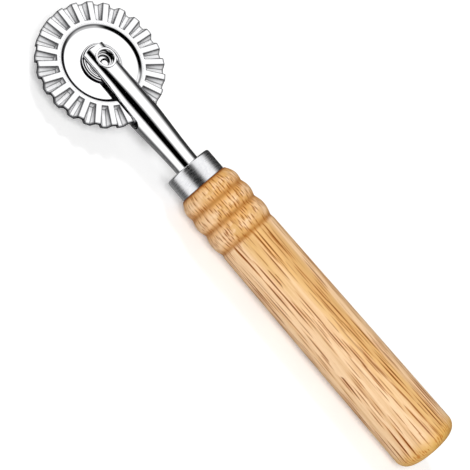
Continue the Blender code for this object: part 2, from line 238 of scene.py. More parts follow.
# Camera, in the tool's frame; the focal length is in pixels of the 470 pixel photograph
PHOTO_SIZE_PX = 470
FOCAL_PX = 1500
SENSOR_MM = 36
CLIP_START = 0.01
CAMERA_RIGHT = Vector((0.6522, 0.6385, 0.4086))
CAMERA_FORWARD = Vector((0.0198, 0.5245, -0.8512))
CAMERA_FROM_AXLE = Vector((55.0 * MM, -234.1 * MM, 374.9 * MM))

# Floor: its two tints, what the camera sees, and its glow, which is 1 beyond the lit middle
FLOOR_LIGHT = (0.80, 0.80, 0.80)
FLOOR_DARK = (0.79, 0.79, 0.79)
FLOOR_SEEN = (1.0, 1.0, 1.0)
FLOOR_GLOW = 0.21
FLOOR_LIT = 0.15
FLOOR_HALF_SIZE = 3.0

# Studio: its plain light; what metal mirrors, as degrees from straight up about the tool's length
# and a brightness; and lamps, as name, such an angle, place along the tool, distance, size, power
STUDIO_LIGHT = (0.24, 0.24, 0.24)
STUDIO_WHITE = (1.0, 1.0, 1.0)
SKY_STOPS = (
    (-180, 0.30), (-150, 0.12), (-128, 0.12), (-112, 1.10), (-86, 1.2), (-68, 1.1), (-60, 0.30),
    (-55, 0.0), (-21, 0.0), (-14, 0.30), (-4, 1.15), (46, 1.2), (62, 0.45), (74, 0.05), (146, 0.02),
    (160, 0.20), (180, 0.30),
)
LAMPS = (("key", -24, 0.1, 0.8, 0.45, 4.4), ("fill", 35, -0.5, 0.7, 0.25, 2.4))


# Meshes

def smooth(mesh, sharp_degrees=SHARP_DEGREES):
    """Smooth shading, but for edges sharper than the angle."""
    mesh.shade_smooth()
    mesh.set_sharp_from_angle(angle=math.radians(sharp_degrees))


def mesh_from(bm, name, sharp_degrees=SHARP_DEGREES):
    bmesh.ops.recalc_face_normals(bm, faces=bm.faces)
    mesh = bpy.data.meshes.new(name)
    bm.to_mesh(mesh)
    bm.free()
    smooth(mesh, sharp_degrees)
    return mesh


def add_piece(name, mesh, finish, place):
    made = bpy.data.objects.new(name, mesh)
    bpy.context.scene.collection.objects.link(made)
    made.matrix_world = place
    mesh.materials.append(finish)
    return made


def dress(piece, node_name, body):
    """The piece stands for a CAD node, which it hides, and rides on its body."""
    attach(piece, body)
    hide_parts(node_name)


def apply_modifiers(piece):
    """Replaces a piece's mesh with its modifiers' result."""
    bpy.context.view_layer.update()
    result = piece.evaluated_get(bpy.context.evaluated_depsgraph_get())
    mesh = bpy.data.meshes.new_from_object(result)
    piece.modifiers.clear()
    piece.data = mesh
    smooth(mesh)


def spread(start, end, count):
    """Evenly spaced values from start up to end, without end itself."""
    return [start + (end - start) * step / count for step in range(count)]


def eased(share):
    """A share from 0 to 1, level at both ends."""
    return share * share * (3 - 2 * share)


def arc(centre_r, centre_z, radius, start, end, steps):
    """Points of an arc in a profile, from one angle in degrees to the other."""
    points = []
    for step in range(steps + 1):
        angle = math.radians(start + (end - start) * step / steps)
        points.append((centre_r + radius * math.cos(angle), centre_z + radius * math.sin(angle)))
    return points


def dome(radius, height, steps):
    """Points of a domed profile, from its foot up to the axis."""
    turns = spread(0, math.pi / 2, steps)
    return [(radius * math.cos(turn), height * math.sin(turn)) for turn in turns] + [(0, height)]


def skin(bm, rings, closed):
    """Faces from each ring to the next, and from the last to the first where it is closed.

    A ring of one vertex closes the one beside it like a lid.
    """
    pairs = list(zip(rings, rings[1:]))
    if closed:
        pairs.append((rings[-1], rings[0]))
    for ring, following in pairs:
        count = max(len(ring), len(following))
        for step in range(count):
            after = (step + 1) % count
            corners = [ring[step % len(ring)], ring[after % len(ring)]]
            corners += [following[after % len(following)], following[step % len(following)]]
            bm.faces.new(list(dict.fromkeys(corners)))


def turned(name, profile, count, closed):
    """A turned mesh about Z from (radius, height) points, with one vertex for one on the axis."""
    bm = bmesh.new()
    rings = []
    for radius, height in profile:
        turns = spread(0, 2 * math.pi, count) if radius > 0 else [0]
        rings.append([bm.verts.new((radius * math.cos(turn), radius * math.sin(turn), height))
                      for turn in turns])
    skin(bm, rings, closed)
    return mesh_from(bm, name)


def add_turned(name, profile, count, finish, place, closed=False):
    return add_piece(name, turned(name, profile, count, closed), finish, place)


def along_tool():
    """Local Z points from the handle to the wheel, with its origin at the ferrule's front."""
    return TOOL @ Matrix.Translation((FERRULE_X, 0, 0)) @ Matrix.Rotation(-math.pi / 2, 4, "Y")


def at_axle():
    """Local Z points up the axle, with its origin in the wheel's middle."""
    return TOOL @ Matrix.Translation((AXLE_X, 0, 0))


# Nodes

def new_material(name):
    made = bpy.data.materials.new(name)
    made.use_nodes = True
    return made, made.node_tree, made.node_tree.nodes["Principled BSDF"]


def node(tree, kind, **settings):
    made = tree.nodes.new(kind)
    for key, value in settings.items():
        setattr(made, key, value)
    return made


def link(tree, source, target):
    tree.links.new(source, target)


def feed(tree, value, socket):
    """Gives a socket a number or a colour, or links it to what gives its value."""
    if isinstance(value, (int, float)):
        socket.default_value = value
    elif isinstance(value, tuple):
        socket.default_value = (*value, 1.0)
    else:
        link(tree, value, socket)


def math_node(tree, operation, *values):
    made = node(tree, "ShaderNodeMath", operation=operation)
    for value, socket in zip(values, made.inputs):
        feed(tree, value, socket)
    return made.outputs["Value"]


def product(tree, first, *others):
    for other in others:
        first = math_node(tree, "MULTIPLY", first, other)
    return first


def rest_of(tree, share):
    """What a share leaves of 1."""
    return math_node(tree, "SUBTRACT", 1.0, share)


def mix_colour(tree, share, first, second):
    """From the first colour to the second by a share; each is a socket or its value."""
    made = node(tree, "ShaderNodeMix", data_type="RGBA")
    colours = [socket for socket in made.inputs if socket.type == "RGBA"]
    for value, socket in zip((share, first, second), (made.inputs["Factor"], *colours)):
        feed(tree, value, socket)
    return next(socket for socket in made.outputs if socket.type == "RGBA")


def ramp(tree, value, low, high, start, end, kind="SMOOTHSTEP"):
    """Takes value from the range low to high onto start to end, clamped."""
    made = node(tree, "ShaderNodeMapRange", interpolation_type=kind)
    made.inputs["From Min"].default_value = low
    made.inputs["From Max"].default_value = high
    made.inputs["To Min"].default_value = start
    made.inputs["To Max"].default_value = end
    link(tree, value, made.inputs["Value"])
    return made.outputs["Result"]


def near_any(tree, value, places, width, core=0.0):
    """1 within the core of any of the places, falling to 0 at the width."""
    most = 0.0
    for place in places:
        away = math_node(tree, "ABSOLUTE", math_node(tree, "SUBTRACT", value, place))
        most = math_node(tree, "MAXIMUM", most, ramp(tree, away, core, width, 1.0, 0.0))
    return most


def parts_of(tree, vector):
    """A vector's X, Y and Z."""
    made = node(tree, "ShaderNodeSeparateXYZ")
    link(tree, vector, made.inputs["Vector"])
    return made.outputs["X"], made.outputs["Y"], made.outputs["Z"]


def scaled(tree, vector, scale):
    """A vector times a scale for each axis."""
    made = node(tree, "ShaderNodeMapping")
    made.inputs["Scale"].default_value = scale
    link(tree, vector, made.inputs["Vector"])
    return made.outputs["Vector"]


def texture_space(tree, scale=(1, 1, 1)):
    """The piece's own space in millimetres, times a scale for each axis."""
    coordinates = node(tree, "ShaderNodeTexCoord")
    return scaled(tree, coordinates.outputs["Object"], [value / MM for value in scale])


def noise(tree, vector, detail, roughness=0.5):
    made = node(tree, "ShaderNodeTexNoise")
    made.inputs["Scale"].default_value = 1.0
    made.inputs["Detail"].default_value = detail
    made.inputs["Roughness"].default_value = roughness
    link(tree, vector, made.inputs["Vector"])
    return made.outputs["Fac"]


def mottle(tree, scale, detail):
    """Noise in the piece's own space, with a scale for each axis."""
    return noise(tree, texture_space(tree, scale), detail)


def stretched(tree, vector, scale, detail, roughness=0.5):
    """Noise in the wood's space, or on its unrolled surface, with a scale for each axis."""
    return noise(tree, scaled(tree, vector, scale), detail, roughness)


def attribute(tree, name):
    """A number that the mesh carries at its vertices."""
    return node(tree, "ShaderNodeAttribute", attribute_name=name).outputs["Fac"]


def bump(tree, shader, height, distance, strength):
    made = node(tree, "ShaderNodeBump")
    made.inputs["Strength"].default_value = strength
    made.inputs["Distance"].default_value = distance
    link(tree, height, made.inputs["Height"])
    link(tree, made.outputs["Normal"], shader.inputs["Normal"])


# Metal

def polished_steel(name, colour, roughness, grain_scale, shade=None, satin=None):
    """Bright plated steel: shade(tree) gives where shade is painted on it, satin(tree) where it is
    duller.
    """
    made, tree, shader = new_material(name)
    haze = mottle(tree, (0.35, 0.35, 0.35), 4)
    marks = mottle(tree, grain_scale, 3)
    hazy = tuple(0.97 * channel for channel in colour)
    tint = mix_colour(tree, ramp(tree, haze, 0.35, 0.65, 0, 1), colour, hazy)
    if shade is not None:
        tint = mix_colour(tree, shade(tree), tint, SHADE_COLOUR)
    link(tree, tint, shader.inputs["Base Color"])
    shader.inputs["Metallic"].default_value = 1.0
    shader.inputs["Specular Tint"].default_value = (*EDGE_TINT, 1)
    rough = ramp(tree, marks, 0.35, 0.75, roughness, roughness * 1.8)
    if satin is not None:
        dull = satin(tree)
        rough = math_node(tree, "MAXIMUM", rough, product(tree, dull, RECESS_ROUGHNESS))
        metal = rest_of(tree, product(tree, dull, RECESS_DULLNESS))
        link(tree, metal, shader.inputs["Metallic"])
    link(tree, rough, shader.inputs["Roughness"])
    bump(tree, shader, marks, METAL_RELIEF, 0.25)
    return made


def painted_crease_shade(tree):
    """The wheel's folds, rim and dish slope, darkened with painted shade and dark reflections."""
    return product(tree, attribute(tree, "crease"), PAINTED_CREASE_STRENGTH)


def recess_satin(tree):
    """The flutes' insides, where polishing doesn't reach."""
    clouds = mottle(tree, (1.6, 1.6, 1.6), 4)
    return product(tree, attribute(tree, "recess"), ramp(tree, clouds, 0.3, 0.7, 0.88, 1.0))


def from_axle(tree):
    """Distance from the axle and height along it."""
    x, y, height = parts_of(tree, texture_space(tree))
    squares = [math_node(tree, "POWER", value, 2.0) for value in (x, y)]
    return math_node(tree, "SQRT", math_node(tree, "ADD", *squares)), height


def washer_painted_shade(tree):
    """Painted dark rings at the washers' rim, step and face, standing in for shade and dark
    reflections.
    """
    distance, _ = from_axle(tree)
    radii = [radius / MM for radius in WASHER_RINGS]
    return near_any(tree, distance, radii, RING_WIDTH / MM, 0.3 * RING_WIDTH / MM)


def bore_shade(tree):
    """Painted shade darkens the rivet's bore, but for its domed floor and rings of painted
    highlight.
    """
    distance, height = from_axle(tree)
    deep = ramp(tree, height, EYE_CROWN / MM - 0.5, (EYE_CROWN + LIP_RISE) / MM - 0.1, 1.0, 0.0)
    wall = ramp(tree, distance, 1.45, 1.6, 0.0, 0.93)
    inside = ramp(tree, distance, BORE_RADIUS / MM + 0.1, BORE_RADIUS / MM + 0.2, 1.0, 0.0)
    painted_highlight_rings = near_any(tree, height, [(BORE_FLOOR + rise) / MM for rise in BORE_RINGS], 0.16)
    return product(tree, deep, wall, inside, rest_of(tree, painted_highlight_rings))


def inside_shade_steel(name):
    """The fork's inside, near black: painted shade for the shade within the fork."""
    made, tree, shader = new_material(name)
    clouds = mottle(tree, (1.2, 1.2, 1.2), 4)
    tint = mix_colour(tree, ramp(tree, clouds, 0.3, 0.7, 0, 1), INSIDE_SHADE_LIGHT, INSIDE_SHADE_DARK)
    link(tree, tint, shader.inputs["Base Color"])
    shader.inputs["Metallic"].default_value = 0.6
    link(tree, ramp(tree, clouds, 0.3, 0.7, 0.45, 0.65), shader.inputs["Roughness"])
    return made


def satin_steel(name):
    """The brushed ferrule: fine turning lines round it, over a soft mottle."""
    made, tree, shader = new_material(name)
    lines = mottle(tree, (0.25, 0.25, 6.0), 3)
    clouds = mottle(tree, (1.4, 1.4, 1.4), 5)
    tint = mix_colour(tree, ramp(tree, clouds, 0.3, 0.7, 0, 1), SATIN_LIGHT, SATIN_DARK)
    link(tree, tint, shader.inputs["Base Color"])
    shader.inputs["Metallic"].default_value = 1.0
    link(tree, ramp(tree, lines, 0.3, 0.7, 0.22, 0.30), shader.inputs["Roughness"])
    bump(tree, shader, lines, METAL_RELIEF, 0.12)
    return made


# Wood

def unrolled(tree, place):
    """The handle's surface laid flat, round it and along it, and the height along it.

    It wanders a little on the way round, so that the streaks aren't straight.
    """
    x, y, height = parts_of(tree, place)
    turn = math_node(tree, "ARCTAN2", y, x)
    wander = ramp(tree, stretched(tree, place, (0.10, 0.10, 0.012), 0), 0.2, 0.8, -1.0, 1.0)
    around = math_node(tree, "ADD", product(tree, turn, BUTT_RADIUS / MM), wander)
    flat = node(tree, "ShaderNodeCombineXYZ")
    link(tree, around, flat.inputs["X"])
    link(tree, height, flat.inputs["Y"])
    return flat.outputs["Vector"], height


def streaks(tree, surface, spacing, length, width, left_out):
    """Thin streaks along the grain, one in each cell of the unrolled surface, with tapered ends.

    Gives the streaks and the stain round them.
    """
    grid = scaled(tree, surface, (1 / spacing, 1 / length, 1))
    cells = node(tree, "ShaderNodeTexVoronoi", feature="F1", voronoi_dimensions="2D")
    cells.inputs["Scale"].default_value = 1.0
    cells.inputs["Randomness"].default_value = 1.0
    link(tree, grid, cells.inputs["Vector"])
    away = node(tree, "ShaderNodeVectorMath", operation="SUBTRACT")
    link(tree, grid, away.inputs[0])
    link(tree, cells.outputs["Position"], away.inputs[1])
    aside, ahead, _ = parts_of(tree, away.outputs["Vector"])
    across = product(tree, math_node(tree, "ABSOLUTE", aside), spacing)
    along = product(tree, math_node(tree, "POWER", ahead, 2.0), STREAK_TAPER * width)
    reach = math_node(tree, "ADD", across, along)
    tone = node(tree, "ShaderNodeSeparateColor")
    link(tree, cells.outputs["Color"], tone.inputs["Color"])
    strength = ramp(tree, tone.outputs["Red"], left_out, left_out + 0.15, 0.0, 1.0)
    core = product(tree, ramp(tree, reach, width * STREAK_CORE, width, 1.0, 0.0), strength)
    stain = product(tree, ramp(tree, reach, width, width * STREAK_STAIN, 1.0, 0.0), strength)
    return core, stain


def valley_heights():
    """Where the beads begin and end, from the ferrule to the body."""
    heights = [-WOOD_FRONT / MM]
    for length, _ in BEADS:
        heights.append(heights[-1] - length / MM)
    return heights


def wood_ground(tree, place, surface, fibre, on_side):
    """Peach and straw bands, with the figure and the fibre over them."""
    bands = stretched(tree, place, (0.16, 0.16, 0.005), 2)
    figure = stretched(tree, surface, (0.45, 0.010, 1.0), 2)
    colour = mix_colour(tree, ramp(tree, bands, 0.44, 0.56, 0, 1), WOOD_PEACH, WOOD_STRAW)
    figured = product(tree, ramp(tree, figure, 0.46, 0.62, 0, 0.42), on_side)
    colour = mix_colour(tree, figured, colour, WOOD_TAN)
    return mix_colour(tree, ramp(tree, fibre, 0.45, 0.70, 0, 0.35), colour, WOOD_TAN)


def bead_tones(tree, surface, height, colour, on_beads):
    """The beads are orange towards their valleys, with pale patches of painted highlight on their
    crowns.
    """
    flank = near_any(tree, height, valley_heights(), 3.2)
    orange = product(tree, on_beads, math_node(tree, "ADD", product(tree, flank, 0.65), 0.10))
    colour = mix_colour(tree, orange, colour, WOOD_ORANGE)
    crown_highlight_patches = ramp(tree, stretched(tree, surface, (0.35, 0.35, 1.0), 3, 0.7), 0.42, 0.62, 0.0, 0.8)
    # Painted highlight: pale peach on the beads' crowns
    crown = product(tree, on_beads, rest_of(tree, flank), crown_highlight_patches)
    return mix_colour(tree, crown, colour, WOOD_PEACH)


def groove_tones(tree, height, colour):
    """Painted shade, brown, in the beads' valleys, and a dark line where the wood meets the
    ferrule.
    """
    valleys = valley_heights()
    valley_painted_shade = near_any(tree, height, valleys, 1.3)
    colour = mix_colour(tree, product(tree, valley_painted_shade, 0.5), colour, WOOD_BROWN)
    joint = near_any(tree, height, valleys[:1], 0.7)
    return mix_colour(tree, product(tree, joint, 0.8), colour, WOOD_PORE)


def end_grain(tree, place, colour, on_end):
    """The butt's flat end: soft bands, and pores cut across as dots."""
    bands = stretched(tree, place, (0.5, 1.6, 0.1), 4, 0.6)
    banded = product(tree, ramp(tree, bands, 0.42, 0.62, 0.0, 0.55), on_end)
    colour = mix_colour(tree, banded, colour, WOOD_TAN)
    dots = node(tree, "ShaderNodeTexVoronoi", feature="F1")
    dots.inputs["Scale"].default_value = 1.3
    link(tree, place, dots.inputs["Vector"])
    pores = product(tree, ramp(tree, dots.outputs["Distance"], 0.12, 0.22, 0.7, 0.0), on_end)
    return mix_colour(tree, pores, colour, WOOD_BROWN)


def long_grain(tree, surface, height, colour, on_side, on_beads):
    """Streaks with rust round them, all along the handle; gives the colour and the cuts' depth."""
    butt = -HANDLE_LENGTH / MM
    thick = ramp(tree, stretched(tree, surface, (0.20, 0.02, 1.0), 1), 0.40, 0.52, 0.70, 1.0)
    off_beads = rest_of(tree, product(tree, on_beads, 0.75))
    short_of_butt = ramp(tree, height, butt + 1.5, butt + 6.0, 0.25, 1.0)
    on_body = product(tree, on_side, off_beads, short_of_butt)
    on_rim = near_any(tree, height, (butt + 2.2,), 1.8)
    layers = (
        (BODY_STREAKS, on_body),
        (BEAD_STREAKS, on_beads),
        (BUTT_STREAKS, on_rim),
        (DEEP_STREAKS, product(tree, thick, on_body)),
    )
    depth = 0.0
    for (form, core_share, stain_share, dark), where in layers:
        core, stain = streaks(tree, surface, *form)
        colour = mix_colour(tree, product(tree, stain, where, stain_share), colour, WOOD_RUST)
        cut = product(tree, core, where, core_share)
        colour = mix_colour(tree, cut, colour, dark)
        depth = math_node(tree, "MAXIMUM", depth, cut)
    return colour, depth


def oiled_wood(name):
    """Light open-grained wood: peach and straw bands, fibre, and brown streaks along the grain."""
    made, tree, shader = new_material(name)
    place = texture_space(tree)
    surface, height = unrolled(tree, place)
    butt = -HANDLE_LENGTH / MM
    beads_end = valley_heights()[-1]
    on_side = ramp(tree, height, butt + 0.3, butt + 1.2, 0.0, 1.0)
    on_beads = ramp(tree, height, beads_end - 1.2, beads_end + 0.2, 0.0, 1.0)
    fibre = stretched(tree, place, (2.4, 2.4, 0.06), 4, 0.6)

    colour = wood_ground(tree, place, surface, fibre, on_side)
    colour = bead_tones(tree, surface, height, colour, on_beads)
    golden = ramp(tree, height, butt + 1.5, butt + 7.0, 0.85, 0.0)
    colour = mix_colour(tree, golden, colour, WOOD_GOLD)
    speckle = stretched(tree, place, (2.2, 2.2, 0.9), 3, 0.7)
    colour = mix_colour(tree, ramp(tree, speckle, 0.50, 0.75, 0.0, 0.25), colour, WOOD_STAIN)
    colour = groove_tones(tree, height, colour)
    colour = end_grain(tree, place, colour, rest_of(tree, on_side))
    colour, depth = long_grain(tree, surface, height, colour, on_side, on_beads)

    link(tree, colour, shader.inputs["Base Color"])
    link(tree, ramp(tree, fibre, 0.3, 0.7, 0.42, 0.58), shader.inputs["Roughness"])
    shader.inputs["Specular IOR Level"].default_value = 0.15
    relief = math_node(tree, "SUBTRACT", product(tree, fibre, 0.25), depth)
    bump(tree, shader, relief, WOOD_RELIEF, 0.3)
    return made


# Handle and ferrule

def bead_profile(start_radius, rise, start_z, length):
    """A bead's outline, from the valley before it up to the one after it."""
    points = []
    for share in spread(0, 1, BEAD_STEPS):
        valley = start_radius + (VALLEY_RADIUS - start_radius) * share
        points.append((valley + rise * math.sin(math.pi * share), start_z - length * share))
    return points


def make_handle(finish):
    """Turned handle: bore for the tang, tenon in the ferrule, beads, neck, body and butt."""
    bore = SHANK_RADIUS + TANG_CLEARANCE
    profile = [(0, -TANG_LENGTH), (bore, -TANG_LENGTH), (bore, -TENON_FRONT)]
    profile += [(TENON_RADIUS, -TENON_FRONT), (TENON_RADIUS, -WOOD_FRONT)]
    radius = HANDLE_FRONT_RADIUS
    place = -WOOD_FRONT
    for length, rise in BEADS:
        profile += bead_profile(radius, rise, place, length)
        radius = VALLEY_RADIUS
        place -= length
    for step in range(NECK_STEPS + 1):
        share = step / NECK_STEPS
        radius = VALLEY_RADIUS + (NECK_RADIUS - VALLEY_RADIUS) * eased(share)
        profile.append((radius, place - NECK_FILLET * share))
    profile += arc(BUTT_RADIUS - BUTT_CORNER, BUTT_CORNER - HANDLE_LENGTH, BUTT_CORNER, 0, -90, 20)
    profile.append((0, -HANDLE_LENGTH))
    made = add_turned("handle_wood", profile, HANDLE_FACES, finish, along_tool())
    dress(made, "handle", "root")


def make_ferrule(finish):
    """Drawn cap with a rounded front and a wall that the shank passes through."""
    inner = FERRULE_RADIUS - FERRULE_WALL
    front = FERRULE_FRONT_ROUND
    edge = FERRULE_EDGE
    profile = [(FERRULE_HOLE, -FERRULE_WALL)]
    profile += arc(FERRULE_HOLE + edge, -edge, edge, 180, 90, 4)
    profile += arc(FERRULE_RADIUS - front, -front, front, 90, 0, 12)
    profile += arc(FERRULE_RADIUS - edge, edge - FERRULE_LENGTH, edge, 0, -90, 4)
    profile += [(inner, -FERRULE_LENGTH), (inner, -FERRULE_WALL)]
    made = add_turned("ferrule_cap", profile, HANDLE_FACES, finish, along_tool(), closed=True)
    dress(made, "ferrule", "root")


# Fork

def slope(index, item):
    """Rise of a value at a station, level at both ends and where the value turns."""
    if index in (0, len(FORK_STATIONS) - 1):
        return 0
    before, here, after = FORK_STATIONS[index - 1:index + 2]
    back = (here[item] - before[item]) / (here[0] - before[0])
    ahead = (after[item] - here[item]) / (after[0] - here[0])
    if back * ahead <= 0:
        return 0
    return 2 * back * ahead / (back + ahead)


def fork_section(place):
    """Half width, crown height and squareness of the fork at a place behind the axle."""
    index = 0
    while index < len(FORK_STATIONS) - 2 and place > FORK_STATIONS[index + 1][0]:
        index += 1
    start, end = FORK_STATIONS[index:index + 2]
    run = end[0] - start[0]
    share = (place - start[0]) / run
    values = []
    for item in (1, 2, 3):
        leave = share * (1 - share) * (1 - share) * run * slope(index, item)
        arrive = share * share * (share - 1) * run * slope(index + 1, item)
        values.append(start[item] + (end[item] - start[item]) * eased(share) + leave + arrive)
    return values


def lip_height(place):
    """Height of the slot's edge above the seam at a place behind the axle."""
    if place <= SLOT_CENTRE:
        share = (place + EYE_REACH) / (SLOT_CENTRE + EYE_REACH)
        return EYE_LIP_HEIGHT + (SLOT_HALF_WIDTH - EYE_LIP_HEIGHT) * share
    if place < SLOT_REACH:
        return max(SEAM_HALF_WIDTH, math.sqrt(SLOT_HALF_WIDTH ** 2 - (place - SLOT_CENTRE) ** 2))
    return SEAM_HALF_WIDTH


def above(line, floor):
    """What of a line of points lies above the floor, cut where it crosses it."""
    kept = []
    for first, second in zip(line, line[1:]):
        if (first.y < floor) != (second.y < floor):
            share = (floor - first.y) / (second.y - first.y)
            kept.append(first.lerp(second, share))
        if second.y >= floor:
            kept.append(second)
    return kept


def evenly_spaced(line, count):
    """Points at even distances along a line of points, from its start to its end."""
    lengths = [0.0]
    for first, second in zip(line, line[1:]):
        lengths.append(lengths[-1] + (second - first).length)
    points = []
    index = 0
    for step in range(count + 1):
        target = lengths[-1] * step / count
        while index < len(line) - 2 and lengths[index + 1] < target:
            index += 1
        span = lengths[index + 1] - lengths[index]
        share = (target - lengths[index]) / span if span else 0
        points.append(line[index].lerp(line[index + 1], min(1, share)))
    return points


def fork_curve(place, inset):
    """Evenly spaced points over one half of the fork, from lip to lip, inset from the outside."""
    half_width, crown, squareness = fork_section(place)
    line = []
    for step in range(SECTION_STEPS + 1):
        angle = math.pi * step / SECTION_STEPS
        across = math.copysign(abs(math.cos(angle)) ** (2 / squareness), math.cos(angle))
        up = abs(math.sin(angle)) ** (2 / squareness)
        normal = Vector((math.copysign(abs(across) ** (squareness - 1), across) / half_width,
                         up ** (squareness - 1) / crown))
        line.append(Vector((half_width * across, crown * up)) - normal.normalized() * inset)
    return evenly_spaced(above(line, lip_height(place)), FORK_COLUMNS)


def fork_places():
    """Stations along the fork, closer together round the slot's end."""
    places = spread(-EYE_REACH, SLOT_CENTRE, 60)
    for turn in spread(0, math.pi / 2, 24):
        places.append(SLOT_CENTRE + SLOT_HALF_WIDTH * math.sin(turn))
    places += spread(SLOT_REACH, AXLE_TO_FERRULE, 36)
    return places + [AXLE_TO_FERRULE, AXLE_TO_FERRULE + TANG_LENGTH]


def round_and_drill(arm, finish):
    """Rounds an arm's edges and cuts the rivet's hole through it."""
    rounding = arm.modifiers.new("rounding", "BEVEL")
    rounding.width = FORK_EDGE
    rounding.segments = 3
    rounding.limit_method = "ANGLE"
    rounding.angle_limit = math.radians(FORK_EDGE_DEGREES)
    profile = [(0, -DRILL_REACH), (RIVET_HOLE_RADIUS, -DRILL_REACH)]
    profile += [(RIVET_HOLE_RADIUS, DRILL_REACH), (0, DRILL_REACH)]
    drill = add_turned("drill", profile, DRILL_FACES, finish, at_axle())
    hole = arm.modifiers.new("hole", "BOOLEAN")
    hole.operation = "DIFFERENCE"
    hole.solver = "EXACT"
    hole.object = drill
    apply_modifiers(arm)
    bpy.data.objects.remove(drill, do_unlink=True)


def make_fork_arm(name, node_name, side, finish, inside):
    """One half of the fork: outside and inside sheets, joined at the lips and at both ends."""
    bm = bmesh.new()
    shells = []
    for inset in (0, FORK_SHEET):
        rings = []
        for place in fork_places():
            curve = fork_curve(place, inset)
            rings.append([bm.verts.new((place, point.x, side * point.y)) for point in curve])
        shells.append(rings)
    for index, rings in enumerate(shells):
        for ring, following in zip(rings, rings[1:]):
            for step in range(FORK_COLUMNS):
                corners = (ring[step], ring[step + 1], following[step + 1], following[step])
                bm.faces.new(corners).material_index = index
    outer, inner = shells
    for edge in (0, FORK_COLUMNS):
        for index in range(len(outer) - 1):
            bm.faces.new((outer[index][edge], outer[index + 1][edge],
                          inner[index + 1][edge], inner[index][edge]))
    for end in (0, -1):
        for step in range(FORK_COLUMNS):
            bm.faces.new((outer[end][step], outer[end][step + 1],
                          inner[end][step + 1], inner[end][step]))
    made = add_piece(name, mesh_from(bm, name), finish, at_axle())
    made.data.materials.append(inside)
    round_and_drill(made, finish)
    dress(made, node_name, "root")


# Rivet

def make_rivet(finish):
    """The tubular rivet, from its stepped bore over the rolled lip to the head on the far side."""
    top = EYE_CROWN + LIP_RISE
    lip = LIP_RISE / 2
    profile = [(radius, BORE_FLOOR + rise) for radius, rise in BORE_STEPS]
    profile += arc(BORE_RADIUS + BORE_ROUND, top - BORE_ROUND, BORE_ROUND, 180, 90, 8)
    profile += arc(LIP_RADIUS - lip, EYE_CROWN + lip, lip, 90, -60, 8)
    profile += [(RIVET_RADIUS, EYE_CROWN - LIP_TUCK), (RIVET_RADIUS, -EYE_CROWN)]
    profile += [(radius, -EYE_CROWN - rise) for radius, rise in dome(HEAD_RADIUS, HEAD_HEIGHT, 12)]
    made = add_turned("rivet_tube", profile, RIVET_FACES, finish, at_axle())
    dress(made, "axle_rivet", "root")


def make_peen(finish):
    """The peened spot on the floor of the rivet's bore, a little off its middle."""
    profile = dome(PEEN_RADIUS, PEEN_HEIGHT, 10)[::-1]
    profile += [(PEEN_RADIUS, -PEEN_FOOT), (0, -PEEN_FOOT)]
    place = at_axle() @ Matrix.Translation((*PEEN_PLACE, BORE_FLOOR))
    made = add_turned("rivet_peen", profile, PEEN_FACES, finish, place)
    dress(made, "axle_rivet", "root")


# Wheel

def hinge(value, rounding):
    """0 below zero and the value above it, with the corner rounded."""
    if value <= -rounding:
        return 0
    if value >= rounding:
        return value
    return (value + rounding) ** 2 / (4 * rounding)


def rounded_step(value, start, end, round_start, round_end):
    """0 before start and 1 after end, straight between, with each corner rounded."""
    return (hinge(value - start, round_start) - hinge(value - end, round_end)) / (end - start)


def wall_run(radius):
    """How far a flute's wall reaches across; ridges and floors keep their widths, so it widens."""
    half_pitch = math.pi * max(radius, DISH_RADIUS) / FLUTE_COUNT
    return half_pitch - RIDGE_HALF_WIDTH - FLOOR_HALF_WIDTH


def fold_shift(run, depth, thick):
    """How far a fold moves across between the sheet's upper and lower side."""
    return thick * (math.hypot(run, depth) - run) / depth


def wheel_height(radius, offset, thick):
    """Height of the fluted sheet at a radius and a distance across from a ridge's middle."""
    run = wall_run(radius)
    ridge = RIDGE_HALF_WIDTH - fold_shift(run, FLUTE_DEPTH, thick)
    fold = rounded_step(offset, ridge, ridge + run, FOLD_ROUND, FOOT_ROUND)
    flute_start = FLUTE_RADIUS - fold_shift(FLUTE_END_RUN, FLUTE_DEPTH, thick)
    reach = rounded_step(radius, flute_start, flute_start + FLUTE_END_RUN, FOLD_ROUND, FOOT_ROUND)
    dish_start = DISH_RADIUS - DISH_RUN + fold_shift(DISH_RUN, DISH_DEPTH, thick)
    dish = rounded_step(radius, dish_start, dish_start + DISH_RUN, FOLD_ROUND, FOLD_ROUND)
    return RIDGE_HEIGHT - thick - DISH_DEPTH * (1 - dish) - FLUTE_DEPTH * fold * reach


def bell(value, width):
    """1 at zero, falling smoothly to either side."""
    return math.exp(-(value / width) ** 2)


def painted_crease_share(radius, offset):
    """1 on the sheet's folds and rim, where shade and dark reflections are painted, and 0 on its
    flats.
    """
    run = wall_run(radius)
    away = [max(0, WHEEL_RADIUS - radius - RIM_CREASE)]
    if radius > FLUTE_RADIUS:
        away.append(abs(offset - RIDGE_HALF_WIDTH))
        away.append(FOOT_THINNING * abs(offset - RIDGE_HALF_WIDTH - run))
    if offset > RIDGE_HALF_WIDTH - CREASE_WIDTH:
        away.append(END_THINNING * abs(radius - FLUTE_RADIUS))
        away.append(FOOT_THINNING * abs(radius - FLUTE_RADIUS - FLUTE_END_RUN))
    shares = [bell(min(away), CREASE_WIDTH)]
    up_slope = (radius - DISH_RADIUS + DISH_RUN) / DISH_RUN
    for strength, place, width in DISH_LINES:
        shares.append(strength * bell(up_slope - place, width))
    return max(shares)


def recess_share(radius, offset):
    """1 inside a flute, on its walls and floor, and 0 on the ridges and the flat ring."""
    if radius < FLUTE_RADIUS:
        return 0
    return min(1, max(0, (RIDGE_HEIGHT - wheel_height(radius, offset, 0)) / RECESS_FADE))


